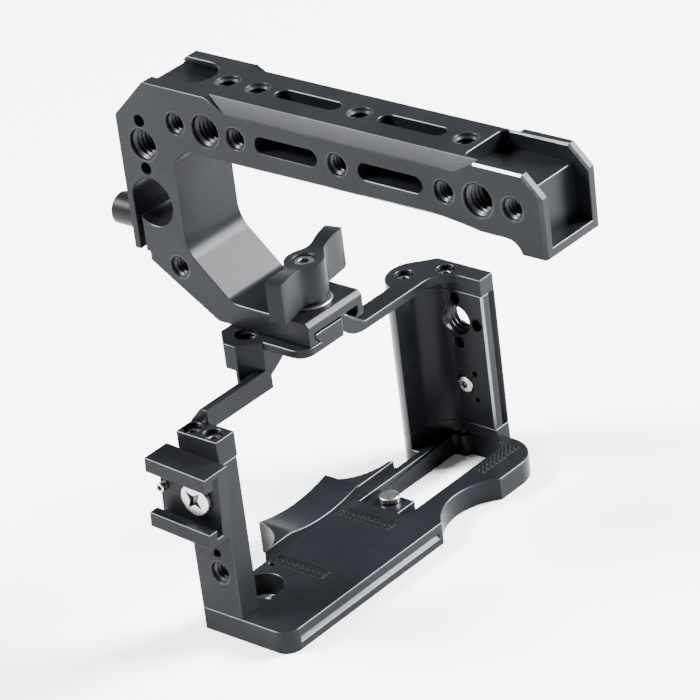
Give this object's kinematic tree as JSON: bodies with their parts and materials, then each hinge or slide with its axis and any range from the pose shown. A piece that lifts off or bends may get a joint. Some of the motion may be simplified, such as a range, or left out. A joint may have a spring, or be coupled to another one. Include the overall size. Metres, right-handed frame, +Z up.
{
  "type": "camera cage",
  "caption": "Camera cage with a base plate, two uprights, a stepped top bar and a long slotted top handle that slides on a dovetail rail and locks with a wing lever.",
  "frame": {"origin": "point on the base plate's underside, straight below the lens axis and at half of the plate's depth", "axes": "+Z up, +Y forward along the lens axis, +X to the right as seen from behind the camera"},
  "size_m": [0.1295, 0.1649, 0.1487],
  "materials": {
    "black_anodised": "satin black anodised",
    "knurled_pad": "fine diamond knurl, black",
    "black_lever": "satin black",
    "stainless_steel": "bright machined",
    "grey_washer": "satin grey"
  },
  "bodies": {
    "cage": {"top_bar": "black_anodised", "bar_screws_left": "stainless_steel", "bar_screws_right": "stainless_steel", "left_post": "black_anodised", "side_cold_shoe": "black_anodised", "shoe_screw": "stainless_steel", "shoe_stop_pin": "stainless_steel", "right_wall": "black_anodised", "accessory_rail": "black_anodised", "rail_screw": "stainless_steel", "base_plate": "black_anodised", "seat_pad_left": "knurled_pad", "seat_pad_middle": "knurled_pad", "seat_pad_right": "knurled_pad", "base_screws_left": "stainless_steel", "base_screws_right": "stainless_steel"},
    "handle": {"handle": "black_anodised", "lever_washer": "grey_washer"},
    "lever": {"wing_lever": "black_lever", "lever_screw": "stainless_steel", "clamp_stud": "stainless_steel"},
    "rod_screw": {"rod_clamp_screw": "black_lever"},
    "tripod_screw": {"camera_screw": "stainless_steel"}
  },
  "joints": [
    {"name": "handle_slide", "type": "slide", "parent": "cage", "child": "handle", "axis": [0, 1, 0], "range_m": [-0.004, 0.012]},
    {"name": "lever_turn", "type": "hinge", "parent": "handle", "child": "lever", "pos_m": [-0.00705, 0.0041, 0.09], "axis": [0, 0, 1], "range_deg": [-20, 340]},
    {"name": "rod_screw_turn", "type": "hinge", "parent": "handle", "child": "rod_screw", "pos_m": [-0.00705, 0.06, 0.0989], "axis": [0, 1, 0], "range_deg": [-30, 690]},
    {"name": "camera_screw_turn", "type": "hinge", "parent": "cage", "child": "tripod_screw", "pos_m": [0.01955, 0.008, 0.003], "axis": [0, 0, 1], "range_deg": [-30, 1440]}
  ]
}
